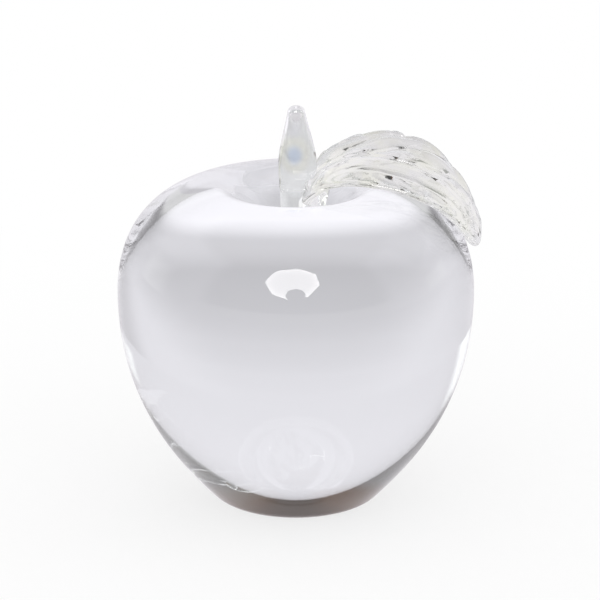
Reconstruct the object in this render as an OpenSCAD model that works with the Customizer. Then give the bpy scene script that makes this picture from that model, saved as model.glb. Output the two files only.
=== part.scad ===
// Solid clear glass apple: a solid body with a dimple and a ground base,
// a drawn stem, a pressed leaf and the twisted foot that carries the leaf.
// The pieces are joined hot, face to face.
// The origin is the centre of the ground base, +Z is up and -Y is the front.

/* [Body] */
// Largest radius of the body
body_r = 55.5; // [52:0.5:58]
// Height of the widest level above the base
belly_z = 67.6; // [62:0.2:72]
// Height of the shoulder ring
shoulder_z = 101.6; // [98:0.2:104]
// Radius of the shoulder ring, where the body is highest
shoulder_r = 24.9; // [22:0.1:28]
// Radius of the flat that is ground on the base
base_r = 19.2; // [17:0.1:22]
// Radius where the rounded base edge runs into the side
heel_r = 27.2; // [25:0.1:30]
// Height where the rounded base edge runs into the side
heel_z = 2.8; // [2:0.1:4]
// Slope of the side at the base edge, in degrees
heel_slope = 47; // [42:1:52]

/* [Dimple] */
// Depth of the dimple below the shoulder ring
dimple_depth = 13.7; // [11:0.1:16]
// Radius of the level floor that the stem is fused to
dimple_floor_r = 8.0; // [7.8:0.1:9]

/* [Stem] */
// Height of the stem's tip above the base
stem_top_z = 127; // [122:0.5:132]
// Radius of the stem at its fullest level
stem_r = 6.0; // [5.8:0.1:6.4]
// Radius of the stem where its tip starts to round over
stem_tip_r = 2.7; // [2.4:0.1:3.2]
// Lean of the stem to the left, in degrees
stem_lean = 1.5; // [0:0.1:2.5]
// Distance of the stem's foot to the right of the middle
stem_x = 1.1; // [0:0.1:1.3]

/* [Leaf] */
// Largest half width of the leaf
leaf_half_w = 17; // [15:0.5:18]
// Thickness of the leaf
leaf_t = 5; // [4.5:0.1:5.4]
// Turn of the leaf from the right towards the front, in degrees
leaf_yaw = 9; // [5:1:13]
// Roll of the leaf, with its front edge lower, in degrees
leaf_roll = 12; // [9:1:13]
// Height of the pressed ribs
rib_h = 0.6; // [0.3:0.1:0.9]

/* [Hidden] */
glass = [0.90, 0.94, 0.96, 0.45];
floor_z = shoulder_z - dimple_depth;
// Reach of each outline curve's handles, along the curve's own ends
base_reach = 3.1;
heel_reach = 3.3;
side_low_reach = 14.6;
side_high_reach = 35;
shoulder_side_reach = 25.8;
shoulder_top_reach = 12.4;
dimple_top_reach = 10;
dimple_floor_reach = 7;
// Height above the base where the stem is fullest
stem_full_z = 107;
// Radii of the stem's spread foot and of its waist, and the waist's height
stem_foot_r = 6.6;
stem_waist_r = 5.7;
stem_waist_z = 99;
// Height that the stem's tip takes to round over
stem_tip_h = 1.9;
// Length of the stem below the dimple's floor, which is cut off level
stem_spare = 1;
// Leaf's middle line, from the stem to the tip, in the leaf's upright plane
leaf_line = [[4.2, 97.5], [10.6, 118.6], [50.6, 116.5], [57, 84.9]];
// Shares of the leaf's width at its root and at its tip
leaf_root_share = 0.4;
leaf_tip_share = 0.35;
// Share of the leaf's length where its tip starts to round over
leaf_tip_from = 0.92;
leaf_stations = 44;
leaf_across = 20;
rib_count = 4.5;
// Foot's middle line, from the dimple's floor into the root of the leaf
foot_line = [[4.9, -3.9, floor_z], [4.6, -4.4, 93], [5.6, -3.6, 99], [8.2, -1.4, 105]];
foot_low_r = 4.4;
foot_high_r = 3.8;
foot_flutes = 5;
foot_flute_h = 0.6;
foot_twist = 110;
foot_rings = 18;
foot_sides = 56;

// Point at t on a cubic curve with the four control points p
function cubic(p, t) =
    pow(1 - t, 3) * p[0] + 3 * pow(1 - t, 2) * t * p[1]
    + 3 * (1 - t) * t * t * p[2] + pow(t, 3) * p[3];

// Direction at t along the same curve
function cubic_dir(p, t) =
    let (d = pow(1 - t, 2) * (p[1] - p[0]) + 2 * (1 - t) * t * (p[2] - p[1])
        + t * t * (p[3] - p[2]))
    d / norm(d);

// Points of a curve in n steps, without its first point
function curve(p, n) = [for (i = [1:n]) cubic(p, i / n)];

// Outline of the body from the middle of the base to the dimple's floor
function body_outline() =
    let (
        slope = [cos(heel_slope), sin(heel_slope)],
        heel = [heel_r, heel_z],
        belly = [body_r, belly_z],
        ring = [shoulder_r, shoulder_z],
        floor_edge = [dimple_floor_r, floor_z])
    concat(
        [[0, 0], [base_r, 0]],
        curve([[base_r, 0], [base_r + base_reach, 0], heel - heel_reach * slope, heel], 6),
        curve([heel, heel + side_low_reach * slope, belly - [0, side_high_reach], belly], 22),
        curve([belly, belly + [0, shoulder_side_reach], ring + [shoulder_top_reach, 0], ring], 26),
        curve([ring, ring - [dimple_top_reach, 0],
            floor_edge + [dimple_floor_reach, 0], floor_edge], 16),
        [[0, floor_z]]);

// Outline of the stem, as [radius, height above the dimple's floor] pairs
function stem_outline() =
    let (
        top = stem_top_z - floor_z,
        full = stem_full_z - floor_z,
        waist = stem_waist_z - floor_z,
        tip = top - stem_tip_h)
    concat(
        [[0, -stem_spare], [stem_foot_r, -stem_spare], [stem_foot_r, 0]],
        curve([[stem_foot_r, 0], [stem_waist_r + 0.2, 2.2],
            [stem_waist_r, waist - 4], [stem_waist_r, waist]], 8),
        curve([[stem_waist_r, waist], [stem_waist_r, waist + 2.5],
            [stem_r, full - 2.5], [stem_r, full]], 6),
        curve([[stem_r, full], [stem_r, full + 6.5],
            [stem_tip_r + 0.9, tip - 5], [stem_tip_r, tip]], 14),
        curve([[stem_tip_r, tip], [stem_tip_r - 0.3, tip + 1.3],
            [stem_tip_r * 0.55, top], [0, top]], 8));

// Share of the leaf's width and thickness that is left at t, close to the tip
function tip_round(t) =
    t < leaf_tip_from ? 1
    : 0.3 + 0.7 * sqrt(1 - pow((t - leaf_tip_from) / (1 - leaf_tip_from), 2));

// Share of the full half width of the leaf at t along it
function leaf_share(t) =
    let (ends = leaf_root_share * (1 - t) + leaf_tip_share * t)
    (ends + (1 - ends) * pow(sin(180 * pow(t, 0.85)), 0.8)) * tip_round(t);

// Height of the pressed ribs over the leaf's own rounded section
function rib(t, v) =
    rib_h * sin(180 * t) * (1 - v * v)
    * cos(180 * rib_count * (v + 0.1 * sin(500 * t)));

// One section of the leaf at t, as points round it
function leaf_row(t) =
    let (
        c = cubic(leaf_line, t),
        d = cubic_dir(leaf_line, t),
        roll = leaf_roll * sin(180 * t),
        w = leaf_half_w * leaf_share(t),
        h = leaf_t / 2 * (1 - 0.2 * t * t) * tip_round(t),
        side = [0, cos(roll), sin(roll)],
        up = cross([d[0], 0, d[1]], side))
    [for (k = [0:2 * leaf_across - 1])
        let (
            a = 180 * k / leaf_across,
            v = cos(a),
            n = h * pow(abs(sin(a)), 0.7) * sign(sin(a)) + (sin(a) > 0 ? rib(t, v) : 0))
        [c[0], 0, c[1]] + side * w * v + up * n];

// One section of the twisted, fluted foot at t, as points round it
function foot_row(t) =
    let (
        c = cubic(foot_line, t),
        r = foot_low_r + (foot_high_r - foot_low_r) * t)
    [for (k = [0:foot_sides - 1])
        let (
            a = 360 * k / foot_sides,
            f = r + foot_flute_h * cos(foot_flutes * (a + foot_twist * t)))
        c + [f * cos(a), f * sin(a), 0]];

// Rows of points joined into one closed skin with both ends capped
module skin(rows) {
    n = len(rows[0]);
    last = len(rows) - 1;
    polyhedron(
        points = [for (row = rows) each row],
        faces = concat(
            [[for (j = [0:n - 1]) j]],
            [for (i = [0:last - 1], j = [0:n - 1])
                let (a = i * n + j, b = i * n + (j + 1) % n)
                each [[a, a + n, b], [b, a + n, b + n]]],
            [[for (j = [n - 1:-1:0]) last * n + j]]),
        convexity = 6);
}

module stem_shape() {
    translate([stem_x, 0, floor_z])
        rotate([0, -stem_lean, 0])
            rotate_extrude($fn = 64)
                polygon(stem_outline());
}

module foot_shape() {
    skin([for (i = [0:foot_rings]) foot_row(i / foot_rings)]);
}

module leaf_shape() {
    rotate([0, 0, -leaf_yaw])
        skin([for (i = [0:leaf_stations]) leaf_row(i / leaf_stations)]);
}

module apple_body() {
    color(glass)
        rotate_extrude($fn = 128)
            polygon(body_outline());
}

module stem() {
    color(glass)
        intersection() {
            stem_shape();
            translate([0, 0, floor_z])
                cylinder(r = 2 * stem_foot_r, h = stem_top_z, $fn = 64);
        }
}

module leaf_foot() {
    color(glass)
        difference() {
            foot_shape();
            stem_shape();
        }
}

module leaf() {
    color(glass)
        difference() {
            leaf_shape();
            stem_shape();
            foot_shape();
        }
}

apple_body();
stem();
leaf_foot();
leaf();
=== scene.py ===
"""Looks of a solid clear glass apple with a drawn stem and a pressed leaf, in a pale studio."""

import logging
import math
from dataclasses import dataclass, field
from enum import Enum

import bmesh
import bpy
from mathutils import Matrix, Vector


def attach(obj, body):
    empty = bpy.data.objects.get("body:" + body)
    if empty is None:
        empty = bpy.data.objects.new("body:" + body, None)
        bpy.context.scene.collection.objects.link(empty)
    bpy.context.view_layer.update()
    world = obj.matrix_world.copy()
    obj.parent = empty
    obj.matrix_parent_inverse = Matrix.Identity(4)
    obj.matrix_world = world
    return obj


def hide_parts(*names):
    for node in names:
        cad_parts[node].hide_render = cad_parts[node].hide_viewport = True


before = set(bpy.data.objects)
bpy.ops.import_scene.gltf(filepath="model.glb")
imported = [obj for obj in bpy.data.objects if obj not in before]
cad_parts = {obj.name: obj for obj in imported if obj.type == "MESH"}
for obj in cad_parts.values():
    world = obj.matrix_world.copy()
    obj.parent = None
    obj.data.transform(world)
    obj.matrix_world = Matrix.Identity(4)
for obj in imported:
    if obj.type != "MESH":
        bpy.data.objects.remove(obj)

LOG = logging.getLogger("glass_apple")
MM = 0.001
FULL_TURN = 2 * math.pi
# How far apart in metres two points may be and still be one, in a made skin and after a cut
SKIN_WELD = 0.5e-6
CUT_WELD = 1e-7
# Places of the glass and of the fused face among a cut piece's materials
GLASS_PLACE, FUSED_PLACE = 0, 1
# Number of a Mix node's and a Vector Math node's sockets
MIX_FIRST, MIX_SECOND, MIX_RESULT, SCALE_SOCKET = "i6", "i7", 2, 3
# How much paler the clouds in the glass are than the glass
CLOUD_GAIN = 1.006
# Keeps a division from dividing by nothing
NEAR_ZERO = 0.001
# Red, green and blue of the studio paper at brightness 1
PAPER = (1.003, 0.975, 1.022)
Colour = tuple[float, float, float]
Band = tuple[float, float]


class Part(Enum):
    """The pieces of glass, each named as its node in the frame."""

    BODY = "apple_body"
    STEM = "stem"
    FOOT = "leaf_foot"
    LEAF = "leaf"


class Slot(Enum):
    """The record's material slots."""

    BODY = "body_glass"
    STEM = "stem_glass"
    LEAF = "leaf_glass"


class Flow:
    """A socket's value in a node tree, which Python's operators extend with Math nodes."""

    def __init__(self, tree: bpy.types.NodeTree, socket: bpy.types.NodeSocket) -> None:
        """Wraps one output socket.

        Args:
            tree: The node tree that the socket is in.
            socket: The output socket whose number is worked with.
        """
        self.tree = tree
        self.socket = socket

    def math(self, operation: str, *others: "Flow | float", clamp: bool = False) -> "Flow":
        """Adds one Math node.

        Args:
            operation: The Math node's operation.
            others: The second and third values, where the operation has them.
            clamp: Keeps the result between 0 and 1.

        Returns:
            The node's result.
        """
        return calculated(self.tree, operation, self, *others, clamp=clamp)

    def __add__(self, other: "Flow | float") -> "Flow":
        """Sum."""
        return self.math("ADD", other)

    __radd__ = __add__

    def __sub__(self, other: "Flow | float") -> "Flow":
        """Difference."""
        return self.math("SUBTRACT", other)

    def __rsub__(self, other: float) -> "Flow":
        """Difference from a number."""
        return calculated(self.tree, "SUBTRACT", other, self)

    def __mul__(self, other: "Flow | float") -> "Flow":
        """Product."""
        return self.math("MULTIPLY", other)

    __rmul__ = __mul__

    def __truediv__(self, other: "Flow | float") -> "Flow":
        """Quotient."""
        return self.math("DIVIDE", other)

    def __pow__(self, other: "Flow | float") -> "Flow":
        """Power."""
        return self.math("POWER", other)

    def __abs__(self) -> "Flow":
        """Size without sign."""
        return self.math("ABSOLUTE")

    def least(self, other: "Flow | float") -> "Flow":
        """The smaller of two values."""
        return self.math("MINIMUM", other)

    def most(self, other: "Flow | float") -> "Flow":
        """The larger of two values."""
        return self.math("MAXIMUM", other)

    def sine(self) -> "Flow":
        """Sine of an angle in radians."""
        return self.math("SINE")

    def cosine(self) -> "Flow":
        """Cosine of an angle in radians."""
        return self.math("COSINE")

    def ramp(self, low: float, high: float) -> "Flow":
        """Rises smoothly from 0 at low to 1 at high, or falls where low is the larger.

        Args:
            low: The value that gives 0.
            high: The value that gives 1.

        Returns:
            A share between 0 and 1.
        """
        share = ((self - low) / (high - low)).math("ADD", 0.0, clamp=True)
        return share * share * (3.0 - 2.0 * share)

    def bell(self, middle: float, half: float) -> "Flow":
        """Swells to 1 at the middle and fades within a few halves of it."""
        off = (self - middle) / half
        return (off * off * -1.0).math("EXPONENT")


def calculated(
    tree: bpy.types.NodeTree, operation: str, *values: "Flow | float", clamp: bool = False
) -> Flow:
    """Adds a Math node on flows and numbers.

    Args:
        tree: The node tree to add to.
        operation: The Math node's operation.
        values: The node's inputs in order.
        clamp: Keeps the result between 0 and 1.

    Returns:
        The node's result.
    """
    node = tree.nodes.new("ShaderNodeMath")
    node.operation = operation
    node.use_clamp = clamp
    for place, value in enumerate(values):
        if isinstance(value, Flow):
            tree.links.new(value.socket, node.inputs[place])
        else:
            node.inputs[place].default_value = value
    return Flow(tree, node.outputs[0])


class Graph:
    """A node tree under construction."""

    def __init__(self, tree: bpy.types.NodeTree) -> None:
        """Holds the tree that nodes are added to."""
        self.tree = tree

    def add(self, kind: str, settings: dict | None = None, **inputs: object) -> bpy.types.Node:
        """Adds a node of any type.

        Args:
            kind: The node's type.
            settings: The node's own properties, which are set first. A ramp's stops come as
                a list of (place, colour) pairs under the name stops.
            inputs: Values or links by socket name, with _ for a space, or by number as i0, i1.

        Returns:
            The node.
        """
        node = self.tree.nodes.new(kind)
        for name, value in (settings or {}).items():
            if name == "stops":
                self.set_stops(node.color_ramp, value)
            else:
                setattr(node, name, value)
        for name, value in inputs.items():
            numbered = name[0] == "i" and name[1:].isdigit()
            place = int(name[1:]) if numbered else name.replace("_", " ")
            self.feed(node.inputs[place], value)
        return node

    def feed(self, socket: bpy.types.NodeSocket, value: object) -> None:
        """Links or sets one input socket.

        Args:
            socket: The input socket.
            value: A flow, an output socket or a plain value.
        """
        if isinstance(value, Flow):
            value = value.socket
        if isinstance(value, bpy.types.NodeSocket):
            self.tree.links.new(value, socket)
        else:
            socket.default_value = value

    def flow(self, node: bpy.types.Node, output: str | int = 0) -> Flow:
        """Wraps a node's output as a number."""
        return Flow(self.tree, node.outputs[output])

    def parts(self, vector: bpy.types.NodeSocket) -> tuple[Flow, Flow, Flow]:
        """Splits a vector into its three numbers."""
        node = self.add("ShaderNodeSeparateXYZ", Vector=vector)
        return self.flow(node, 0), self.flow(node, 1), self.flow(node, 2)

    @staticmethod
    def set_stops(band: bpy.types.ColorRamp, stops: list[tuple[float, tuple]]) -> None:
        """Writes a colour ramp's stops.

        Args:
            band: The ramp.
            stops: Its places and colours, in rising order.
        """
        while len(band.elements) > 1:
            band.elements.remove(band.elements[-1])
        for place, (where, colour) in enumerate(stops):
            stop = band.elements[0] if place == 0 else band.elements.new(where)
            stop.position = where
            stop.color = colour


def lilac(level: float) -> tuple[float, float, float, float]:
    """The studio paper's colour at a brightness."""
    red, green, blue = (level * share for share in PAPER)
    return (red, green, blue, 1.0)


def grey(level: float, warmth: float = 0.0) -> tuple[float, float, float, float]:
    """A near-neutral colour.

    Args:
        level: Its brightness, with 1 for white.
        warmth: How much redder than blue it is, as a share of the brightness.

    Returns:
        Red, green, blue and alpha.
    """
    return (level * (1 + warmth / 2), level, level * (1 - warmth / 2), 1.0)


def mixed(graph: Graph, share: Flow, first: object, second: object) -> bpy.types.NodeSocket:
    """Mixes two colours.

    Args:
        graph: The tree that the mix is added to.
        share: Share of the second colour.
        first: A colour or a socket.
        second: A colour or a socket.

    Returns:
        The mixed colour's socket.
    """
    colours = {MIX_FIRST: first, MIX_SECOND: second}
    mix = graph.add("ShaderNodeMix", {"data_type": "RGBA"}, i0=share, **colours)
    return mix.outputs[MIX_RESULT]


def opaque(colour: Colour) -> tuple[float, float, float, float]:
    """A colour with its alpha."""
    return (*colour, 1.0)


def emptied(owner: bpy.types.Material | bpy.types.World) -> Graph:
    """Turns on the nodes of a material or a world, and takes out those that it starts with."""
    owner.use_nodes = True
    graph = Graph(owner.node_tree)
    graph.tree.nodes.clear()
    return graph


def linked(name: str, data: bpy.types.ID) -> bpy.types.Object:
    """Puts data into the scene as a new object."""
    made = bpy.data.objects.new(name, data)
    bpy.context.collection.objects.link(made)
    return made


def evaluated(maker: bpy.types.Object) -> bpy.types.Mesh:
    """The mesh that an object's modifiers make."""
    bpy.context.view_layer.update()
    seen = maker.evaluated_get(bpy.context.evaluated_depsgraph_get())
    return bpy.data.meshes.new_from_object(seen)


@dataclass(frozen=True)
class ClearGlass:
    """Polished clear glass, with clouds so faint that they only break up its tint.

    Attributes:
        name: The material's name.
        tint: Share of red, green and blue that one surface lets through.
        cloud_mm: The clouds' size.
        cloud_band: The noise at a cloud's outer edge and where it is whole.
        ior: How strongly the glass bends light.
        shadow: Share of the lamps' light that passes to the floor.
    """

    name: str
    tint: Colour = (0.985, 1.0, 0.968)
    cloud_mm: float = 30.0
    cloud_band: Band = (0.3, 0.7)
    ior: float = 1.52
    shadow: float = 0.86

    def coloured(
        self, graph: Graph, place: bpy.types.NodeSocket, tint: bpy.types.NodeSocket
    ) -> bpy.types.NodeSocket:
        """The colours that the glass has beside its own tint, which here are none."""
        return tint

    def roughness(self, graph: Graph, place: bpy.types.NodeSocket) -> "Flow | float":
        """How far the surface is from a polish, which here is not at all."""
        return 0.0

    def made(self) -> bpy.types.Material:
        """Builds the material.

        Returns:
            The finished material.
        """
        material = bpy.data.materials.new(self.name)
        graph = emptied(material)
        place = graph.add("ShaderNodeTexCoord").outputs["Object"]
        clouds = graph.add(
            "ShaderNodeTexNoise", Vector=place, Scale=1 / (self.cloud_mm * MM), Detail=1.0
        )
        paler = tuple(min(1.0, part * CLOUD_GAIN) for part in self.tint)
        cloudy = graph.flow(clouds).ramp(*self.cloud_band)
        tint = mixed(graph, cloudy, opaque(self.tint), opaque(paler))
        glass = graph.add(
            "ShaderNodeBsdfPrincipled",
            Base_Color=self.coloured(graph, place, tint),
            Roughness=self.roughness(graph, place),
            IOR=self.ior,
            Transmission_Weight=1.0,
        )
        passed = graph.add("ShaderNodeBsdfTransparent", Color=grey(self.shadow))
        ray = graph.add("ShaderNodeLightPath")
        joined = graph.add(
            "ShaderNodeMixShader",
            i0=ray.outputs["Is Shadow Ray"],
            i1=glass.outputs[0],
            i2=passed.outputs[0],
        )
        graph.add("ShaderNodeOutputMaterial", Surface=joined.outputs[0])
        return material


@dataclass(frozen=True)
class BodyGlass(ClearGlass):
    """The body's glass, with a satin flat where the base is ground.

    Attributes:
        satin: Roughness of the ground flat.
        flat_m: Heights above the base where the polish is whole and where it is gone.
    """

    tint: Colour = (0.928, 0.951, 0.957)
    satin: float = 0.3
    flat_m: Band = (0.0003, 0.0001)

    def roughness(self, graph: Graph, place: bpy.types.NodeSocket) -> "Flow | float":
        """Satin on the base, and a full polish above it."""
        _, _, height = graph.parts(place)
        return height.ramp(*self.flat_m) * self.satin


@dataclass(frozen=True)
class StemGlass(ClearGlass):
    """The stem's glass, with painted refraction colours: a pale blue heart in a creamy halo and a
    pale head.

    Attributes:
        painted_heart_mm: Place of the painted blue heart's middle to the right and above the base.
        painted_heart_half_mm: The painted heart's half width and half height.
        painted_head_mm: Place of the painted pale lilac tint close to the tip.
        painted_head_half_mm: Its half width and half height.
        blue: The painted heart's colour, a painted refraction.
        cream: The painted halo's colour.
        pearl: The painted head's colour.
        painted_heart_band: The painted heart's soft edge, as shares of its half size.
        painted_halo_band: The painted halo's soft edge, as shares of the heart's half size.
        painted_head_band: The painted head's soft edge, as shares of its half size.
        front_m: Where the painted colours begin in front of the stem's middle, and where they are
            whole.
    """

    cloud_mm: float = 8.0
    painted_heart_mm: tuple[float, float] = (-0.4, 112.6)
    painted_heart_half_mm: tuple[float, float] = (3.3, 3.9)
    painted_head_mm: tuple[float, float] = (-0.6, 122.4)
    painted_head_half_mm: tuple[float, float] = (2.6, 4.0)
    blue: Colour = (0.54, 0.66, 0.86)
    cream: Colour = (1.0, 1.0, 0.86)
    pearl: Colour = (0.985, 0.985, 1.0)
    painted_heart_band: Band = (1.05, 0.3)
    painted_halo_band: Band = (1.8, 1.1)
    painted_head_band: Band = (1.3, 0.8)
    front_m: Band = (0.0, -0.002)

    def coloured(
        self, graph: Graph, place: bpy.types.NodeSocket, tint: bpy.types.NodeSocket
    ) -> bpy.types.NodeSocket:
        """Adds the painted refraction colours: the heart, its halo and the pale head, on the front
        half.

        Args:
            graph: The material's tree.
            place: The point on the object.
            tint: The glass's own colour.

        Returns:
            The colour.
        """
        x, y, z = graph.parts(place)
        front = y.ramp(*self.front_m)

        def reach(middle: tuple[float, float], half: tuple[float, float]) -> Flow:
            """Distance from an oval's middle, with 1 on the oval."""
            right = (x - middle[0] * MM) / (half[0] * MM)
            above = (z - middle[1] * MM) / (half[1] * MM)
            return (right * right + above * above).math("SQRT")

        # Painted refraction colours, not the glass's own, shown only on the stem's front half.
        heart = reach(self.painted_heart_mm, self.painted_heart_half_mm)
        head = reach(self.painted_head_mm, self.painted_head_half_mm)
        for reached, band, colour in (
            (heart, self.painted_halo_band, self.cream),
            (head, self.painted_head_band, self.pearl),
            (heart, self.painted_heart_band, self.blue),
        ):
            tint = mixed(graph, reached.ramp(*band) * front, tint, opaque(colour))
        return tint


@dataclass(frozen=True)
class LeafGlass(ClearGlass):
    """The leaf's glass, with creamy patches.

    Attributes:
        cream: The patches' colour.
        cream_mm: The patches' size.
        cream_band: The noise at a patch's outer edge and where it is whole.
    """

    cloud_mm: float = 5.0
    cream: Colour = (0.985, 1.0, 0.9)
    cream_mm: float = 9.0
    cream_band: Band = (0.45, 0.62)

    def coloured(
        self, graph: Graph, place: bpy.types.NodeSocket, tint: bpy.types.NodeSocket
    ) -> bpy.types.NodeSocket:
        """Adds the patches."""
        patches = graph.add("ShaderNodeTexNoise", Vector=place, Scale=1 / (self.cream_mm * MM))
        share = graph.flow(patches).ramp(*self.cream_band)
        return mixed(graph, share, tint, opaque(self.cream))


@dataclass(frozen=True)
class FusedJoint:
    """The face inside a hot joint, where light runs on through the glass unbent."""

    name: str = "fused_joint"

    def made(self) -> bpy.types.Material:
        """Builds the material.

        Returns:
            The finished material.
        """
        material = bpy.data.materials.new(self.name)
        graph = emptied(material)
        clear = graph.add("ShaderNodeBsdfTransparent", Color=grey(1.0))
        graph.add("ShaderNodeOutputMaterial", Surface=clear.outputs[0])
        return material


@dataclass(frozen=True)
class Knot:
    """A point of an outline with its two handles, in millimetres from the middle and the base."""

    place: tuple[float, float]
    before: tuple[float, float]
    after: tuple[float, float]


def plain_mesh(maker: bpy.types.Object, name: str) -> bpy.types.Object:
    """Turns an object with modifiers into a plain mesh object at the origin.

    Args:
        maker: The object whose evaluated geometry is taken. It is removed.
        name: The new object's name.

    Returns:
        The plain mesh object.
    """
    mesh = evaluated(maker)
    mesh.name = name
    (glass,) = (material for material in mesh.materials if material)
    mesh.materials.clear()
    mesh.materials.append(glass)
    mesh.polygons.foreach_set("material_index", [GLASS_PLACE] * len(mesh.polygons))
    piece = linked(name, mesh)
    bpy.data.objects.remove(maker)
    return piece


class SolidTree:
    """Geometry nodes that bend a grid along a curve into a closed solid of one glass."""

    name = "solid"
    curve_steps = 48

    def __init__(self, sizes: dict[str, float]) -> None:
        """Builds the tree.

        Args:
            sizes: The tree's number inputs with their values, by name.
        """
        self.tree = bpy.data.node_groups.new(self.name, "GeometryNodeTree")
        face = self.tree.interface
        face.new_socket("Path", in_out="INPUT", socket_type="NodeSocketGeometry")
        kinds = {name: "NodeSocketFloat" for name in sizes} | {"Glass": "NodeSocketMaterial"}
        self.sockets = {
            name: face.new_socket(name, in_out="INPUT", socket_type=kind)
            for name, kind in kinds.items()
        }
        face.new_socket("Solid", in_out="OUTPUT", socket_type="NodeSocketGeometry")
        self.sizes = sizes
        self.graph = Graph(self.tree)
        self.given = self.graph.add("NodeGroupInput")
        self.fill()

    def size(self, name: str) -> Flow:
        """One of the tree's number inputs."""
        return self.graph.flow(self.given, name)

    def fill(self) -> None:
        """Adds the nodes between the tree's inputs and its solid."""
        raise NotImplementedError

    def grid(self) -> tuple[bpy.types.Node, Flow, Flow]:
        """Adds the flat grid that is bent.

        Returns:
            Its node, and a point's place along and round the solid, from -0.5 to 0.5.
        """
        grid = self.graph.add(
            "GeometryNodeMeshGrid",
            Size_X=1.0,
            Size_Y=1.0,
            Vertices_X=self.size("Rings"),
            Vertices_Y=self.size("Sides"),
        )
        where = self.graph.add("GeometryNodeInputPosition").outputs[0]
        along, round_, _ = self.graph.parts(where)
        return grid, along, round_

    def sampled(self, share: Flow) -> bpy.types.Node:
        """Reads the curve at a share of its length."""
        curve = self.given.outputs["Path"]
        return self.graph.add(
            "GeometryNodeSampleCurve", {"mode": "FACTOR"}, Curves=curve, Factor=share
        )

    def finish(self, grid: bpy.types.Node, place: bpy.types.NodeSocket, flip: bool) -> None:
        """Adds the last nodes: the grid is bent, closed and given its glass.

        Args:
            grid: The grid's node.
            place: Where each of its points goes.
            flip: Turns the faces round.
        """
        graph = self.graph
        solid = graph.add("GeometryNodeSetPosition", Geometry=grid.outputs["Mesh"], Position=place)
        solid = graph.add(
            "GeometryNodeMergeByDistance", Geometry=solid.outputs[0], Distance=SKIN_WELD
        )
        if flip:
            solid = graph.add("GeometryNodeFlipFaces", Mesh=solid.outputs[0])
        solid = graph.add("GeometryNodeRealizeInstances", Geometry=solid.outputs[0])
        glass = self.given.outputs["Glass"]
        solid = graph.add("GeometryNodeSetMaterial", Geometry=solid.outputs[0], Material=glass)
        graph.add("NodeGroupOutput", Solid=solid.outputs[0])

    def run(self, name: str, knots: list[tuple], glass: bpy.types.Material) -> bpy.types.Object:
        """Runs the tree on a curve.

        Args:
            name: The piece's name.
            knots: Each knot's place and the handles before and after it, in metres.
            glass: The material of the whole piece.

        Returns:
            The plain mesh object.
        """
        curve = bpy.data.curves.new(name + "_path", "CURVE")
        curve.dimensions = "3D"
        curve.resolution_u = self.curve_steps
        spline = curve.splines.new("BEZIER")
        spline.bezier_points.add(len(knots) - 1)
        for point, knot in zip(spline.bezier_points, knots):
            point.handle_left_type = point.handle_right_type = "FREE"
            point.co, point.handle_left, point.handle_right = knot
        maker = linked(name + "_maker", curve)
        modifier = maker.modifiers.new("solid", "NODES")
        modifier.node_group = self.tree
        for size, value in self.sizes.items():
            modifier[self.sockets[size].identifier] = value
        modifier[self.sockets["Glass"].identifier] = glass
        piece = plain_mesh(maker, name)
        LOG.info("%s made with %d faces", name, len(piece.data.polygons))
        return piece


class TurnedTree(SolidTree):
    """Geometry nodes that turn an outline into a solid of revolution."""

    name = "turned_solid"

    def fill(self) -> None:
        """Adds the nodes: a grid is bent round the axis, one way along the outline."""
        grid, along, round_ = self.grid()
        radius, _, height = self.graph.parts(self.sampled(along + 0.5).outputs["Position"])
        turn = round_ * FULL_TURN
        x, y = radius * turn.cosine(), radius * turn.sine()
        place = self.graph.add("ShaderNodeCombineXYZ", X=x, Y=y, Z=height)
        self.finish(grid, place.outputs[0], flip=True)

    def made(self, name: str, knots: list[Knot], glass: bpy.types.Material) -> bpy.types.Object:
        """Turns an outline into a closed solid.

        Args:
            name: The piece's name.
            knots: The outline from the axis below to the axis above.
            glass: The material of the whole solid.

        Returns:
            The plain mesh object.
        """
        outline = [
            [(r * MM, 0.0, z * MM) for r, z in (knot.place, knot.before, knot.after)]
            for knot in knots
        ]
        return self.run(name, outline, glass)


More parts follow.
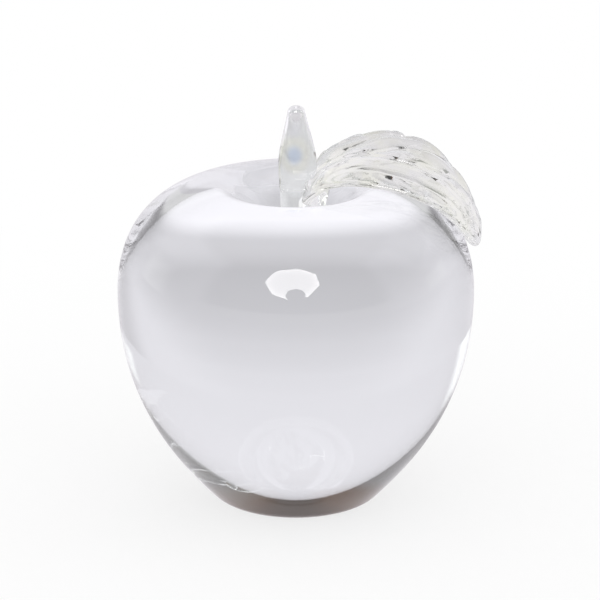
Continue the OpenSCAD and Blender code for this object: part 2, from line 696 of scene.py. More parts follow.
@dataclass
class Body:
    """The solid gather, with a dimple above and a ground flat below. Sizes are in millimetres.

    The reaches are the lengths of the outline's handles.
    """

    radius: float = 55.48
    belly: float = 67.6
    shoulder: float = 101.6
    shoulder_radius: float = 24.9
    base_radius: float = 19.2
    heel: tuple[float, float] = (27.2, 2.8)
    heel_slope: float = 47.0
    dimple_depth: float = 13.7
    floor_radius: float = 8.0
    base_reach: float = 3.1
    heel_reach: float = 3.3
    side_low_reach: float = 14.6
    side_high_reach: float = 35.0
    shoulder_side_reach: float = 25.8
    shoulder_top_reach: float = 12.4
    dimple_top_reach: float = 10.0
    dimple_floor_reach: float = 7.0
    rings: int = 300
    sides: int = 257

    @property
    def floor(self) -> float:
        """Height of the dimple's floor."""
        return self.shoulder - self.dimple_depth

    def knots(self) -> list[Knot]:
        """The outline from the middle of the base to the middle of the dimple."""
        slope = (math.cos(math.radians(self.heel_slope)), math.sin(math.radians(self.heel_slope)))
        (r, z), floor_r, floor_z = self.heel, self.floor_radius, self.floor
        side, top, ring = self.radius, self.shoulder, self.shoulder_radius
        low, high = self.belly - self.side_high_reach, self.belly + self.shoulder_side_reach
        return [
            Knot((0, 0), (0, 0), (6, 0)),
            Knot((self.base_radius, 0), (13, 0), (self.base_radius + self.base_reach, 0)),
            Knot(
                (r, z),
                (r - self.heel_reach * slope[0], z - self.heel_reach * slope[1]),
                (r + self.side_low_reach * slope[0], z + self.side_low_reach * slope[1]),
            ),
            Knot((side, self.belly), (side, low), (side, high)),
            Knot(
                (ring, top),
                (ring + self.shoulder_top_reach, top),
                (ring - self.dimple_top_reach, top),
            ),
            Knot((floor_r, floor_z), (floor_r + self.dimple_floor_reach, floor_z), (6, floor_z)),
            Knot((0, floor_z), (3, floor_z), (0, floor_z)),
        ]

    def made(self, glass: bpy.types.Material) -> bpy.types.Object:
        """Builds the body as a closed solid."""
        tree = TurnedTree({"Rings": self.rings, "Sides": self.sides})
        return tree.made(Part.BODY.value, self.knots(), glass)


@dataclass
class Stem:
    """The drawn stem. Sizes are in millimetres."""

    top: float = 127.0
    full: float = 107.0
    waist: float = 99.0
    radius: float = 6.0
    tip_height: float = 1.9
    tip_radius: float = 2.7
    foot_radius: float = 6.6
    waist_radius: float = 5.7
    lean: float = 1.5
    right: float = 1.1
    sunk: float = 0.8
    rings: int = 170
    sides: int = 129

    def knots(self, floor: float) -> list[Knot]:
        """The outline above the dimple's floor.

        Args:
            floor: Height of the dimple's floor.

        Returns:
            The knots, with heights counted from the floor.
        """
        top, full, waist = self.top - floor, self.full - floor, self.waist - floor
        tip = top - self.tip_height
        foot, neck, end = self.foot_radius, self.waist_radius, self.tip_radius
        low = -self.sunk
        return [
            Knot((0, low), (0, low), (2, low)),
            Knot((foot, low), (foot - 2, low), (foot, low + 0.2)),
            Knot((foot, 0), (foot, -0.2), (neck + 0.2, 2.2)),
            Knot((neck, waist), (neck, waist - 4), (neck, waist + 2.5)),
            Knot((self.radius, full), (self.radius, full - 2.5), (self.radius, full + 6.5)),
            Knot((end, tip), (end + 0.9, tip - 5), (end - 0.3, tip + 1.3)),
            Knot((0, top), (end * 0.55, top), (0, top)),
        ]

    def made(self, floor: float, glass: bpy.types.Material) -> bpy.types.Object:
        """Builds the stem where it stands, leaning to the left.

        Args:
            floor: Height of the dimple's floor.
            glass: The material.

        Returns:
            The stem.
        """
        tree = TurnedTree({"Rings": self.rings, "Sides": self.sides})
        piece = tree.made(Part.STEM.value, self.knots(floor), glass)
        stand = Matrix.Translation((self.right * MM, 0, floor * MM))
        piece.data.transform(stand @ Matrix.Rotation(math.radians(-self.lean), 4, "Y"))
        return piece


class SweptTree(SolidTree):
    """Geometry nodes that wrap a closed skin round a path. A subclass gives the sections."""

    curve_steps = 64

    def section(self, along: Flow, turn: Flow) -> tuple[Flow, Flow]:
        """The skin's distances from the path, to its side and above it.

        Args:
            along: Share of the way along the path.
            turn: Angle round the path.

        Returns:
            Distances in metres.
        """
        raise NotImplementedError

    def axes(self, along: Flow, ahead: bpy.types.NodeSocket) -> tuple[object, object]:
        """The directions to the side of the path and above it.

        Args:
            along: Share of the way along the path.
            ahead: The path's own direction.

        Returns:
            Two vectors.
        """
        raise NotImplementedError

    def vector(self, operation: str, first: object, second: object) -> bpy.types.NodeSocket:
        """Works on two vectors, or scales a vector by a number."""
        node = self.graph.add("ShaderNodeVectorMath", {"operation": operation}, i0=first)
        self.graph.feed(node.inputs[SCALE_SOCKET if operation == "SCALE" else 1], second)
        return node.outputs[0]

    def fill(self) -> None:
        """Adds the nodes: the first and the last row of the skin close its ends."""
        grid, across, round_ = self.grid()
        rings = self.size("Rings")
        row = (across + 0.5) * (rings - 1.0)
        along = ((row - 1.0) / (rings - 3.0)).math("ADD", 0.0, clamp=True)
        opened = (row - 0.5).math("SIGN").most(0.0) * (rings - 1.5 - row).math("SIGN").most(0.0)
        sample = self.sampled(along)
        side, above = self.axes(along, sample.outputs["Tangent"])
        out, up = self.section(along, round_ * FULL_TURN)
        place = self.vector("SCALE", side, out * opened)
        place = self.vector("ADD", place, self.vector("SCALE", above, up * opened))
        place = self.vector("ADD", place, sample.outputs["Position"])
        self.finish(grid, place, flip=False)

    def made(
        self, name: str, points: list[tuple[float, ...]], glass: bpy.types.Material
    ) -> bpy.types.Object:
        """Wraps the skin round a cubic path.

        Args:
            name: The piece's name.
            points: The path's four control points in millimetres.
            glass: The material of the whole piece.

        Returns:
            The plain mesh object.
        """
        start, start_handle, end_handle, end = (Vector(point) * MM for point in points)
        knots = [(start, start, start_handle), (end, end_handle, end)]
        piece = self.run(name, knots, glass)
        outward(piece)
        return piece


def outward(piece: bpy.types.Object) -> None:
    """Turns a closed piece's faces outwards."""
    shape = bmesh.new()
    shape.from_mesh(piece.data)
    bmesh.ops.recalc_face_normals(shape, faces=shape.faces)
    if shape.calc_volume(signed=True) < 0:
        bmesh.ops.reverse_faces(shape, faces=shape.faces)
    shape.to_mesh(piece.data)
    shape.free()


class FluteTree(SweptTree):
    """A round, twisted bit of glass with flutes that wind round it."""

    name = "twisted_flutes"

    def axes(self, along: Flow, ahead: bpy.types.NodeSocket) -> tuple[object, object]:
        """Level sections."""
        return (1.0, 0.0, 0.0), (0.0, 1.0, 0.0)

    def section(self, along: Flow, turn: Flow) -> tuple[Flow, Flow]:
        """A circle with soft flutes.

        Args:
            along: Share of the way along the path.
            turn: Angle round the path.

        Returns:
            Distances in metres.
        """
        wind = self.size("Flutes") / 2.0 * (turn + self.size("Twist") * along)
        radius = self.size("Low radius") * (1.0 - along) + self.size("High radius") * along
        radius = radius + self.size("Flute") * (abs(wind.cosine()) * 2.0 - 1.0)
        return radius * turn.cosine(), radius * turn.sine()


@dataclass(frozen=True)
class Pearl:
    """A smooth pearl on the leaf: its place and half size each way, and how far it rises."""

    along: float
    along_half: float
    across: float
    across_half: float
    rise: float


class BladeTree(SweptTree):
    """A pressed leaf: a rounded blade, folded along its midrib, with side veins and lobes.

    Places across it run from -1 at the front edge to 1 at the back edge. Heights of the pressed
    pattern are shares of the lobes' height.
    """

    name = "pressed_leaf"
    pearls = (
        Pearl(0.13, 0.026, 0.72, 0.2, 0.7),
        Pearl(0.25, 0.05, 0.78, 0.14, 0.8),
        Pearl(0.44, 0.035, 0.86, 0.1, 0.8),
        Pearl(0.075, 0.02, -0.5, 0.3, 1.6),
        Pearl(0.52, 0.03, 0.3, 0.12, 0.5),
    )
    pearl_slant = 0.5
    midrib_across, midrib_half, midrib_depth, midrib_wander = -0.13, 0.04, 0.7, 0.06
    rim_across, rim_half, rim_depth = 0.8, 0.06, 0.35
    lobe_across: Band = (-0.12, 0.06)
    fine_rise, faint_rise, rough_rise = 0.1, 0.05, 0.2
    front_across: Band = (-0.2, -0.35)
    front_edge: Band = (-0.8, -0.6)
    tip_start: Band = (0.74, 0.84)
    tip_end: Band = (0.99, 0.93)
    tip_across: Band = (-0.7, -0.4)
    under_share, under_shift = 0.16, 0.09
    under_across: Band = (-0.3, 0.1)
    fold_across, fold_soft, front_fold = -0.12, 0.1, -0.08
    fold_fade: Band = (0.08, 0.32)
    upper_edge: Band = (-0.05, 0.25)

    def axes(self, along: Flow, ahead: bpy.types.NodeSocket) -> tuple[object, object]:
        """Sections across the path, rolled so that the front edge hangs lower."""
        roll = self.size("Roll") * (along * math.pi).sine()
        side = self.graph.add("ShaderNodeCombineXYZ", X=0.0, Y=roll.cosine(), Z=roll.sine())
        return side.outputs[0], self.vector("CROSS_PRODUCT", ahead, side.outputs[0])

    def rounding(self, along: Flow) -> Flow:
        """Share of width and thickness that is left close to the tip."""
        past = (along - self.size("Tip from")) / (1.0 - self.size("Tip from"))
        past = past.most(0.0).least(1.0)
        return 0.02 + 0.98 * (1.0 - past * past).math("SQRT")

    def half_width(self, along: Flow, across: Flow) -> Flow:
        """Half width, with scallops along the back edge."""
        ends = self.size("Root share") * (1.0 - along) + self.size("Tip share") * along
        swell = ((along.most(0.0001) ** 0.85) * math.pi).sine().most(0.0) ** 0.8
        width = self.size("Half width") * (ends + (1.0 - ends) * swell)
        lobe = abs((self.vein(along, 1.0) * math.pi).sine()) ** 0.5
        middle = (along * math.pi).sine()
        return width * (1.0 - self.size("Scallop") * (1.0 - lobe) * middle * across.ramp(0.3, 1.0))

    def vein(self, along: Flow, across: Flow | float) -> Flow:
        """Counts the side veins: they leave the midrib and slant towards the tip."""
        return (along + 0.063 - self.size("Slant") * across) * self.size("Veins")

    def relief(self, along: Flow, across: Flow) -> Flow:
        """Height of the pressed pattern, as a share of the lobes' height.

        Args:
            along: Share of the way from root to tip.
            across: From -1 at the front edge to 1 at the back edge.

        Returns:
            The height.
        """
        wander = self.midrib_wander * (along * 8.0 + 0.6).sine()
        midrib = (across - wander).bell(self.midrib_across, self.midrib_half)
        rim = across.bell(self.rim_across, self.rim_half)
        back = across.ramp(*self.lobe_across)
        lobe = abs((self.vein(along, across) * math.pi).sine()) ** 0.5 - 0.7
        fine = (across * 13.0 + 1.7 * (along * 9.0).sine() + along * 5.0).sine()
        front = across.ramp(*self.front_across) * across.ramp(*self.front_edge)
        faint = abs((self.vein(along, across * -1.0) * (1.6 * math.pi)).sine()) ** 0.8 - 0.6
        tip = along.ramp(*self.tip_start) * along.ramp(*self.tip_end)
        tip = tip * across.ramp(*self.tip_across)
        rough = (along * 95.0 + 2.0 * (across * 6.0).sine()).sine()
        rough = rough * (across * 7.0 + along * 20.0).sine()
        height = back * (lobe + self.fine_rise * fine) + self.faint_rise * front * faint
        height = height - self.midrib_depth * midrib - self.rim_depth * rim
        return (height + self.rough_rise * tip * rough) * (1.0 - across ** 8.0)

    def blisters(self, along: Flow, across: Flow) -> Flow:
        """Height of the smooth pearls of glass on the upper side, as a share of the lobes' height.

        Args:
            along: Share of the way from root to tip.
            across: From -1 at the front edge to 1 at the back edge.

        Returns:
            The height.
        """
        height = along * 0.0
        for pearl in self.pearls:
            ahead = along - pearl.along
            aside = (across - pearl.across - ahead * self.pearl_slant) / pearl.across_half
            ahead = ahead / pearl.along_half
            swell = (1.0 - ahead * ahead - aside * aside).most(0.0) ** 0.6
            height = height + pearl.rise * swell
        return height

    def section(self, along: Flow, turn: Flow) -> tuple[Flow, Flow]:
        """A rounded blade's section.

        Args:
            along: Share of the way along the path.
            turn: Angle round the path.

        Returns:
            Distances in metres.
        """
        across, above = turn.cosine(), turn.sine()
        left = self.rounding(along)
        width = self.half_width(along, across) * left
        thick = self.size("Thickness") / 2.0 * (1.0 - 0.2 * along * along) * left
        lift = thick * above.math("SIGN") * abs(above) ** 0.8
        from_rib, soft = across - self.fold_across, self.fold_soft
        raised = self.size("Fold") * (1.0 - 0.9 * along.ramp(*self.fold_fade))
        raised = raised * from_rib.ramp(-soft, soft) + self.front_fold * from_rib.ramp(soft, -soft)
        fold = ((from_rib * from_rib + soft * soft).math("SQRT") - soft) * width * raised
        middle = (along * math.pi).sine().most(0.0)
        upper = above.ramp(*self.upper_edge)
        lower = above.ramp(*(-edge for edge in self.upper_edge))
        under = self.relief(along + self.under_shift, across) * across.ramp(*self.under_across)
        top = self.relief(along, across) + self.blisters(along, across)
        pressed = top * upper - self.under_share * under * lower
        pressed = middle**0.5 * left * self.size("Lobe height") * pressed
        return across * width, lift + fold * middle**0.3 + pressed


@dataclass
class LeafFoot:
    """The twisted, fluted foot that carries the leaf. Sizes are in millimetres."""

    low_radius: float = 4.4
    high_radius: float = 3.8
    flutes: int = 5
    flute: float = 0.7
    twist: float = 130.0
    sunk: float = 0.5
    rings: int = 120
    sides: int = 161

    def made(self, floor: float, glass: bpy.types.Material) -> bpy.types.Object:
        """Builds the foot.

        Args:
            floor: Height of the dimple's floor.
            glass: The material.

        Returns:
            The foot.
        """
        line = [(3.8, -3.9, floor - self.sunk), (3.6, -4.4, 93), (4.8, -3.6, 99), (7.8, -1.4, 105)]
        sizes = {
            "Rings": self.rings,
            "Sides": self.sides,
            "Low radius": self.low_radius * MM,
            "High radius": self.high_radius * MM,
            "Flutes": self.flutes,
            "Flute": self.flute * MM,
            "Twist": math.radians(self.twist),
        }
        return FluteTree(sizes).made(Part.FOOT.value, line, glass)


@dataclass
class Leaf:
    """The pressed leaf that hangs over the shoulder. Sizes are in millimetres."""

    line: list[tuple[float, float]] = field(
        default_factory=lambda: [(4.2, 97.5), (10.6, 118.6), (50.2, 116.5), (56.6, 84.9)]
    )
    half_width: float = 17.0
    thickness: float = 5.0
    yaw: float = 9.0
    roll: float = 12.0
    root_share: float = 0.4
    tip_share: float = 0.35
    tip_from: float = 0.92
    fold: float = 0.25
    scallop: float = 0.16
    veins: float = 4.3
    slant: float = 0.3
    lobe_height: float = 1.3
    rings: int = 400
    sides: int = 241

    def made(self, glass: bpy.types.Material) -> bpy.types.Object:
        """Builds the leaf.

        Args:
            glass: The material.

        Returns:
            The leaf.
        """
        sizes = {
            "Rings": self.rings,
            "Sides": self.sides,
            "Half width": self.half_width * MM,
            "Thickness": self.thickness * MM,
            "Roll": math.radians(self.roll),
            "Root share": self.root_share,
            "Tip share": self.tip_share,
            "Tip from": self.tip_from,
            "Fold": self.fold,
            "Scallop": self.scallop,
            "Veins": self.veins,
            "Slant": self.slant,
            "Lobe height": self.lobe_height * MM,
        }
        piece = BladeTree(sizes).made(Part.LEAF.value, [(x, 0.0, z) for x, z in self.line], glass)
        piece.data.transform(Matrix.Rotation(math.radians(-self.yaw), 4, "Z"))
        return piece


class HotJoint:
    """Joins solids as hot glass joins: one ends at the other, and light crosses unbent."""

    def __init__(self, fused: bpy.types.Material) -> None:
        """Holds the material of the faces inside a joint."""
        self.fused = fused
        self.mark = bpy.data.materials.new("cutter_side")

    def cutter(self, piece: bpy.types.Object) -> bpy.types.Object:
        """Copies a whole solid, so that it can shape its neighbours after it is cut itself."""
        copy = linked(piece.name + "_cutter", piece.data.copy())
        copy.data.materials[GLASS_PLACE] = self.mark
        return copy

    def shaped(
        self, piece: bpy.types.Object, cutter: bpy.types.Object, operation: str
    ) -> bpy.types.Mesh:
        """Cuts a piece with a cutter.

        Args:
            piece: The piece.
            cutter: The solid that cuts it.
            operation: DIFFERENCE for what is outside the cutter, INTERSECT for what is inside.

        Returns:
            The new mesh, where the faces left by the cutter have the cutter's mark.
        """
        modifier = piece.modifiers.new("cut", "BOOLEAN")
        modifier.operation = operation
        modifier.solver = "MANIFOLD"
        modifier.object = cutter
        modifier.material_mode = "TRANSFER"
        mesh = evaluated(piece)
        piece.modifiers.remove(modifier)
        return mesh

    def rewritten(
        self, piece: bpy.types.Object, sources: list[tuple[bpy.types.Mesh, bool, bool]]
    ) -> None:
        """Writes a piece's mesh anew from cut ones.

        Args:
            piece: The piece to write.
            sources: For each mesh, whether the cutter's faces are kept, and whether all the
                mesh's faces lie inside a joint. The cutter's own faces always do.
        """
        made = bmesh.new()
        for mesh, keep_cut, inner in sources:
            slots = list(mesh.materials)
            part = bmesh.new()
            part.from_mesh(mesh)
            if not keep_cut:
                cut = [face for face in part.faces if slots[face.material_index] is self.mark]
                bmesh.ops.delete(part, geom=cut, context="FACES")
            for face in part.faces:
                joined = inner or slots[face.material_index] in (self.mark, self.fused)
                face.material_index = FUSED_PLACE if joined else GLASS_PLACE
            part.to_mesh(mesh)
            part.free()
            made.from_mesh(mesh)
            bpy.data.meshes.remove(mesh)
        bmesh.ops.remove_doubles(made, verts=made.verts, dist=CUT_WELD)
        fresh = bpy.data.meshes.new(piece.name)
        made.to_mesh(fresh)
        made.free()
        fresh.materials.append(piece.data.materials[GLASS_PLACE])
        fresh.materials.append(self.fused)
        old, piece.data = piece.data, fresh
        bpy.data.meshes.remove(old)
        fresh.name = piece.name

    def end_at(self, piece: bpy.types.Object, *neighbours: bpy.types.Object) -> None:
        """Cuts a piece off at its neighbours' surfaces."""
        for cutter in neighbours:
            self.rewritten(piece, [(self.shaped(piece, cutter, "DIFFERENCE"), True, False)])
        LOG.info("%s ends at %d neighbours", piece.name, len(neighbours))

    def open_to(self, piece: bpy.types.Object, *neighbours: bpy.types.Object) -> None:
        """Lets light through a piece's surface wherever a neighbour is fused to it."""
        for cutter in neighbours:
            outside = self.shaped(piece, cutter, "DIFFERENCE")
            inside = self.shaped(piece, cutter, "INTERSECT")
            self.rewritten(piece, [(outside, False, False), (inside, False, True)])
        LOG.info("%s carries %d neighbours", piece.name, len(neighbours))


def mended(shape: bmesh.types.BMesh) -> None:
    """Splits the many-sided faces that cuts leave, and closes the slivers where two of them fold.

    Args:
        shape: A piece's mesh after all its cuts.
    """
    for _ in range(2):
        torn = [
            face for face in shape.faces if any(len(edge.link_faces) != 2 for edge in face.edges)
        ]
        bmesh.ops.delete(shape, geom=torn, context="FACES")
        open_edges = [edge for edge in shape.edges if edge.is_boundary]
        bmesh.ops.holes_fill(shape, edges=open_edges, sides=0)
        many = [face for face in shape.faces if len(face.verts) > 4]
        bmesh.ops.triangulate(shape, faces=many, ngon_method="BEAUTY")


def smoothed(piece: bpy.types.Object) -> None:
    """Shades a piece smooth, with an edge only where a joint's inner face begins.

    Args:
        piece: The piece.
    """
    mesh = piece.data
    if len(mesh.materials) > 1:
        shape = bmesh.new()
        shape.from_mesh(mesh)
        mended(shape)
        for edge in shape.edges:
            edge.smooth = len({face.material_index for face in edge.link_faces}) == 1
        shape.to_mesh(mesh)
        shape.free()
    mesh.polygons.foreach_set("use_smooth", [True] * len(mesh.polygons))
    mesh.update()


@dataclass(frozen=True)
class Room:
    """The pale room that only the glass sees, as colours over all directions.

    A band holds the values where a patch begins and where it is whole: across the room (side,
    from left to right), into it (back, from front to rear) and up (rise, from level to zenith).
    """

    paper_low: float = 0.85
    paper_high: float = 0.88
    paper_rise: Band = (0.0, 0.3)
    rear_back: Band = (0.0, 0.2)
    left_panel: float = 1.5
    left_side: Band = (-0.84, -0.92)
    left_rise: Band = (0.42, 0.26)
    right_panel: float = 1.3
    right_side: Band = (0.86, 0.92)
    right_foot: Band = (0.02, 0.06)
    right_rise: Band = (0.24, 0.18)
    corner: float = 0.4
    corner_slant: float = 0.55
    corner_rise: Band = (0.9, 0.98)
    front_back: Band = (-0.35, -0.6)
    table: tuple[float, float] = (0.63, 0.02)
    wall: tuple[float, float] = (0.05, 0.06)
    wall_rise: Band = (0.1, 0.14)
    upper_wall: tuple[float, float] = (0.13, 0.08)
    upper_rise: Band = (0.25, 0.45)
    ceiling_rise: Band = (0.72, 0.84)
    ceiling: Colour = (0.08, 0.034, 0.006)
    zenith: Colour = (0.03, 0.012, 0.0)
    zenith_rise: Band = (0.9, 0.99)
    rear_ceiling: float = 0.05
    rear_ceiling_back: Band = (0.2, 0.5)
    right_ceiling: Colour = (0.23, 0.225, 0.205)
    right_ceiling_side: Band = (0.22, 0.5)
    right_ceiling_back: Band = (0.1, -0.2)

    def colour(self, graph: Graph, way: bpy.types.NodeSocket) -> bpy.types.NodeSocket:
        """Mixes the room's patches over one another.

        Args:
            graph: The world's tree.
            way: The direction that is looked along.

        Returns:
            The colour that is seen there.
        """
        x, y, z = graph.parts(way)
        level = (x * x + y * y).math("SQRT").most(NEAR_ZERO)
        back, side = y / level, x / level
        rear = back.ramp(*self.rear_back)
        left = side.ramp(*self.left_side) * rear * z.ramp(*self.left_rise)
        right = side.ramp(*self.right_side) * rear
        right = right * z.ramp(*self.right_rise) * z.ramp(*self.right_foot)
        corner = (z + side * self.corner_slant).ramp(*self.corner_rise) * rear
        front = mixed(graph, z.ramp(*self.wall_rise), grey(*self.table), grey(*self.wall))
        front = mixed(graph, z.ramp(*self.upper_rise), front, grey(*self.upper_wall))
        over = mixed(graph, z.ramp(*self.zenith_rise), opaque(self.ceiling), opaque(self.zenith))
        over = mixed(graph, back.ramp(*self.rear_ceiling_back), over, grey(self.rear_ceiling))
        beside = x.ramp(*self.right_ceiling_side) * back.ramp(*self.right_ceiling_back)
        over = mixed(graph, beside, over, opaque(self.right_ceiling))
        paper = z.ramp(*self.paper_rise)
        room = mixed(graph, paper, lilac(self.paper_low), lilac(self.paper_high))
        for share, patch in (
            (left, grey(self.left_panel)),
            (right, grey(self.right_panel)),
            (corner, grey(self.corner)),
            (back.ramp(*self.front_back), front),
            (z.ramp(*self.ceiling_rise), over),
        ):
            room = mixed(graph, share, room, patch)
        return room


@dataclass(frozen=True)
class Softbox:
    """The eight-sided light in front, with a round notch at its lower edge.

    Attributes:
        height: Its angle above the floor, in degrees.
        turn: Its angle to the right, in degrees.
        roll: Its roll, in degrees.
        reach: Half its width at distance 1.
        stretch: How much narrower it is than it is tall.
        shrink: Share by which it looks smaller from inside the glass.
        soft: Half the width of its soft edge.
        notch: Place of the notch's middle to the right and above.
        notch_edge: The notch's soft edge from its middle.
        middle: Brightness of its middle, with 1 at the edge.
        middle_reach: Share of its reach where it begins to brighten.
    """

    height: float = 39.0
    turn: float = -2.5
    roll: float = -6.0
    reach: float = 0.335
    stretch: float = 1.14
    shrink: float = 0.2
    soft: float = 0.004
    notch: tuple[float, float] = (0.07, -0.235)
    notch_edge: Band = (0.122, 0.13)
    middle: float = 0.8
    middle_reach: float = 0.6

    def mask(self, graph: Graph, way: bpy.types.NodeSocket, within: Flow) -> tuple[Flow, Flow]:
        """The light over all directions.

        Args:
            graph: The world's tree.
            way: The direction that is looked along.
            within: 1 where the ray comes out of glass.

        Returns:
            1 on the light and 0 elsewhere, and its brightness.
        """
        high, turn, roll = (math.radians(angle) for angle in (self.height, self.turn, self.roll))
        flat = math.cos(high)
        centre = Vector((math.sin(turn) * flat, -math.cos(turn) * flat, math.sin(high)))
        right = Vector((math.cos(turn), math.sin(turn), 0.0))
        up = centre.cross(right)
        up = up if up.z > 0 else -up
        across = right * math.cos(roll) + up * math.sin(roll)
        upward = up * math.cos(roll) - right * math.sin(roll)

        def along(axis: Vector) -> Flow:
            """How far the direction goes along an axis."""
            node = graph.add("ShaderNodeVectorMath", {"operation": "DOT_PRODUCT"}, i0=way, i1=axis)
            return graph.flow(node, "Value")

        ahead = along(centre)
        u = along(across) * self.stretch / ahead.most(0.01)
        v = along(upward) / ahead.most(0.01)
        wide, tall = math.cos(math.pi / 8), math.sin(math.pi / 8)
        edge = (abs(u) * wide + abs(v) * tall).most(abs(u) * tall + abs(v) * wide)
        edge = edge + within * (self.shrink * self.reach)
        limit = self.reach * wide
        inside = edge.ramp(limit + self.soft, limit - self.soft)
        beside, below = u - self.notch[0], v - self.notch[1]
        notch = (beside * beside + below * below).math("SQRT").ramp(*self.notch_edge)
        rim = edge.ramp(self.reach * self.middle_reach, limit)
        return inside * notch * ahead.ramp(0.0, 0.1), self.middle + (1.0 - self.middle) * rim


@dataclass(frozen=True)
class PaintedShadowPool:
    """The apple's painted shadow and painted caustic glow on the floor, which only the glass sees.

    Places are in metres from the middle, and depths are shares of the paper's brightness.
    """

    paper: float = 0.865
    shade: tuple[tuple[float, float], ...] = (
        (0.09, 0.0),
        (0.105, 0.1),
        (0.13, 0.25),
        (0.19, 0.195),
        (0.27, 0.11),
        (0.42, 0.045),
        (1.0, 0.02),
    )
    shade_right: float = 0.012
    shade_edge: Band = (1.7, 0.4)
    ring_depth: float = 0.2
    ring_inner: Band = (0.035, 0.05)
    ring_outer: Band = (0.115, 0.07)
    ring_back: Band = (0.1, 0.5)
    side_depth: float = 0.2
    side_band: Band = (0.65, 0.9)
    side_out: Band = (0.12, 0.2)
    corner_depth: float = 0.07
    corner_x: Band = (0.03, 0.05)
    corner_y: Band = (0.055, 0.085)
    corner_out: Band = (0.135, 0.11)
    glow: float = 0.42
    glow_at: tuple[float, float] = (0.004, 0.062)
    glow_half: tuple[float, float] = (0.027, 0.03)
    glow_edge: Band = (1.25, 0.5)
    front_depth: float = 0.33
    front_band: Band = (0.3, 0.8)
    front_out: Band = (0.1, 0.26)

    def tone(self, graph: Graph, x: Flow, y: Flow, out: Flow) -> Flow:
        """The floor's brightness in the glass, with the painted shadow, painted shade and painted
        caustic glow.

        Args:
            graph: The floor's tree.
            x: Place to the right.
            y: Place to the rear.
            out: Distance from the middle.

        Returns:
            The brightness.
        """
        # Painted shadow of the apple, cast to the rear by the light in front.
        stops = [(where, grey(depth)) for where, depth in self.shade]
        shade = graph.flow(graph.add("ShaderNodeValToRGB", {"stops": stops}, Fac=y))
        spread = 0.06 + 0.3 * (y - 0.1).most(0.0)
        shade = shade * (abs(x - self.shade_right) / spread).ramp(*self.shade_edge)
        far = out.most(NEAR_ZERO)
        # Painted contact shade round the base, and painted shade to the right and at the corners.
        ring = out.ramp(*self.ring_inner) * out.ramp(*self.ring_outer)
        ring = ring * (y / far).ramp(*self.ring_back) * (1.0 - 0.3 * x.ramp(0.0, -0.05))
        side = (x / far).ramp(*self.side_band) * out.ramp(*self.side_out)
        corner = abs(x).ramp(*self.corner_x) * y.ramp(*self.corner_y)
        corner = corner * out.ramp(*self.corner_out)
        # Painted shade: the floor farther in front of the apple is darker.
        front = (y * -1.0 / far).ramp(*self.front_band) * out.ramp(*self.front_out)
        # Painted caustic: a bright patch behind the base where the glass gathers the light.
        glow_x, glow_y = (
            (place - middle) / half
            for place, middle, half in zip((x, y), self.glow_at, self.glow_half)
        )
        glow = (glow_x * glow_x + glow_y * glow_y).math("SQRT").ramp(*self.glow_edge)
        shade = shade + ring * self.ring_depth + side * self.side_depth
        shade = shade + corner * self.corner_depth + front * self.front_depth
        return self.paper - shade + glow * self.glow


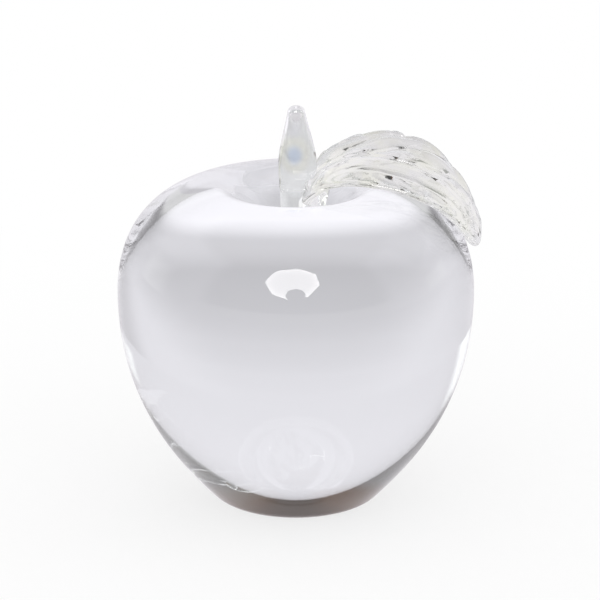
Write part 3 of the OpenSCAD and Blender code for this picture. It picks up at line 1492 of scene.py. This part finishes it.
@dataclass
class Studio:
    """A plain pale floor, a bright backdrop all round, a soft eight-sided light and a camera."""

    room: Room = Room()
    softbox: Softbox = Softbox()
    painted_pool: PaintedShadowPool = PaintedShadowPool()
    floor_radius: float = 12.0
    floor_drop: float = 0.2
    floor_sides: int = 96
    paper: float = 0.97
    light_level: float = 9.6
    light_inside: float = 0.9
    distance: float = 1.2512
    elevation: float = 18.99
    eye_height: float = 0.0516
    lens: float = 240.0
    sensor: float = 36.0
    clip_end: float = 100.0
    picture: int = 600
    axis_pixel: tuple[float, float] = (295.8, 337.9)
    bounces: int = 40

    def world(self) -> None:
        """Builds the world: white to the camera, plain light on matt things, a room in glass."""
        world = bpy.data.worlds.new("studio")
        graph = emptied(world)
        way = graph.add("ShaderNodeTexCoord").outputs["Generated"]
        ray = graph.add("ShaderNodeLightPath")
        camera = graph.flow(ray, "Is Camera Ray")
        inside = graph.flow(ray, "Is Transmission Ray")
        light, bright = self.softbox.mask(graph, way, inside)
        lamp = mixed(graph, bright, grey(0.0), grey(self.light_level, 0.03))
        lamp = mixed(graph, inside, lamp, grey(self.light_inside))
        room = mixed(graph, light, self.room.colour(graph, way), lamp)
        glassy = graph.flow(ray, "Is Glossy Ray").most(inside)
        shown = mixed(graph, glassy.most(camera), grey(1.0), room)
        shown = mixed(graph, camera, shown, grey(1.0))
        back = graph.add("ShaderNodeBackground", Color=shown, Strength=1.0)
        graph.add("ShaderNodeOutputWorld", Surface=back.outputs[0])
        bpy.context.scene.world = world

    def paper_floor(self) -> bpy.types.Material:
        """The floor's material: white with the object's real shadow, and the painted shadow and
        caustic glow that the glass sees.
        """
        material = bpy.data.materials.new("pale_floor")
        graph = emptied(material)
        x, y, _ = graph.parts(graph.add("ShaderNodeTexCoord").outputs["Object"])
        out = (x * x + y * y).math("SQRT")
        # Painted shadow and painted caustic glow, shown only to rays from the glass.
        tone = self.painted_pool.tone(graph, x, y, out)
        red, green, blue = (tone * share for share in PAPER)
        painted_pool = graph.add("ShaderNodeCombineColor", Red=red, Green=green, Blue=blue)
        ray = graph.add("ShaderNodeLightPath")
        camera = graph.flow(ray, "Is Camera Ray")
        glassy = graph.flow(ray, "Is Glossy Ray").most(graph.flow(ray, "Is Transmission Ray"))
        matt = graph.add("ShaderNodeBsdfDiffuse", Color=grey(self.paper))
        white = graph.add("ShaderNodeEmission", Color=grey(1.0), Strength=1.0)
        painted_floor_shade = graph.add("ShaderNodeEmission", Color=painted_pool.outputs[0], Strength=1.0)
        whiter = camera * (0.7 + 0.3 * out.ramp(0.1, 0.3))
        shown = graph.add(
            "ShaderNodeMixShader", i0=whiter, i1=matt.outputs[0], i2=white.outputs[0]
        )
        shown = graph.add(
            "ShaderNodeMixShader", i0=glassy, i1=shown.outputs[0], i2=painted_floor_shade.outputs[0]
        )
        graph.add("ShaderNodeOutputMaterial", Surface=shown.outputs[0])
        return material

    def floor(self) -> None:
        """Builds the floor."""
        mesh = bpy.data.meshes.new("floor")
        shape = bmesh.new()
        bmesh.ops.create_circle(
            shape, cap_ends=True, segments=self.floor_sides, radius=self.floor_radius
        )
        shape.to_mesh(mesh)
        shape.free()
        mesh.transform(Matrix.Translation((0, 0, -self.floor_drop * MM)))
        floor = linked("floor", mesh)
        mesh.materials.append(self.paper_floor())

    def camera(self) -> None:
        """Places the camera at the photograph's viewing angle."""
        data = bpy.data.cameras.new("camera")
        data.lens = self.lens
        data.sensor_width = self.sensor
        data.clip_end = self.clip_end
        camera = linked("camera", data)
        high = math.radians(self.elevation)
        ahead = Vector((0, math.cos(high), -math.sin(high)))
        up = Vector((0, math.sin(high), math.cos(high)))
        right = Vector((1, 0, 0))
        eye = Vector((0, 0, self.eye_height)) - ahead * self.distance
        focal = self.lens / self.sensor * self.picture
        middle = self.picture / 2
        aim = ahead * focal
        aim += right * (middle - self.axis_pixel[0]) + up * (self.axis_pixel[1] - middle)
        turn = aim.to_track_quat("-Z", "Y").to_matrix().to_4x4()
        camera.matrix_world = Matrix.Translation(eye) @ turn
        bpy.context.scene.camera = camera

    def made(self) -> None:
        """Builds the whole studio."""
        self.world()
        self.floor()
        self.camera()
        scene = bpy.context.scene
        scene.view_settings.view_transform = "Standard"
        for kind in ("max", "transmission", "glossy", "transparent_max"):
            setattr(scene.cycles, kind + "_bounces", self.bounces)


def main() -> None:
    """Builds the studio and the apple, joins the pieces and ties them to the frame."""
    logging.basicConfig(level=logging.INFO, format="%(name)s: %(message)s")
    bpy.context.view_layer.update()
    Studio().made()
    body_glass = BodyGlass("body_glass").made()
    stem_glass = StemGlass("stem_glass").made()
    leaf_glass = LeafGlass("leaf_glass").made()
    apple = Body()
    body = apple.made(body_glass)
    stem = Stem().made(apple.floor, stem_glass)
    foot = LeafFoot().made(apple.floor, leaf_glass)
    leaf = Leaf().made(leaf_glass)
    joint = HotJoint(FusedJoint().made())
    cutters = [joint.cutter(piece) for piece in (body, stem, foot, leaf)]
    whole_body, whole_stem, whole_foot, whole_leaf = cutters
    joint.end_at(stem, whole_body)
    joint.end_at(foot, whole_stem, whole_body)
    joint.end_at(leaf, whole_stem, whole_foot)
    joint.open_to(body, whole_stem, whole_foot)
    joint.open_to(stem, whole_foot, whole_leaf)
    joint.open_to(foot, whole_leaf)
    for cutter in cutters:
        bpy.data.objects.remove(cutter)
    dress = {
        Part.BODY: (body, Slot.BODY),
        Part.STEM: (stem, Slot.STEM),
        Part.FOOT: (foot, Slot.LEAF),
        Part.LEAF: (leaf, Slot.LEAF),
    }
    for part, (piece, slot) in dress.items():
        smoothed(piece)
        piece.name = part.value + "_glass"
        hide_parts(part.value)
        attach(piece, "root")
        LOG.info("%s has %d faces", piece.name, len(piece.data.polygons))


if __name__ == "__main__":
    main()
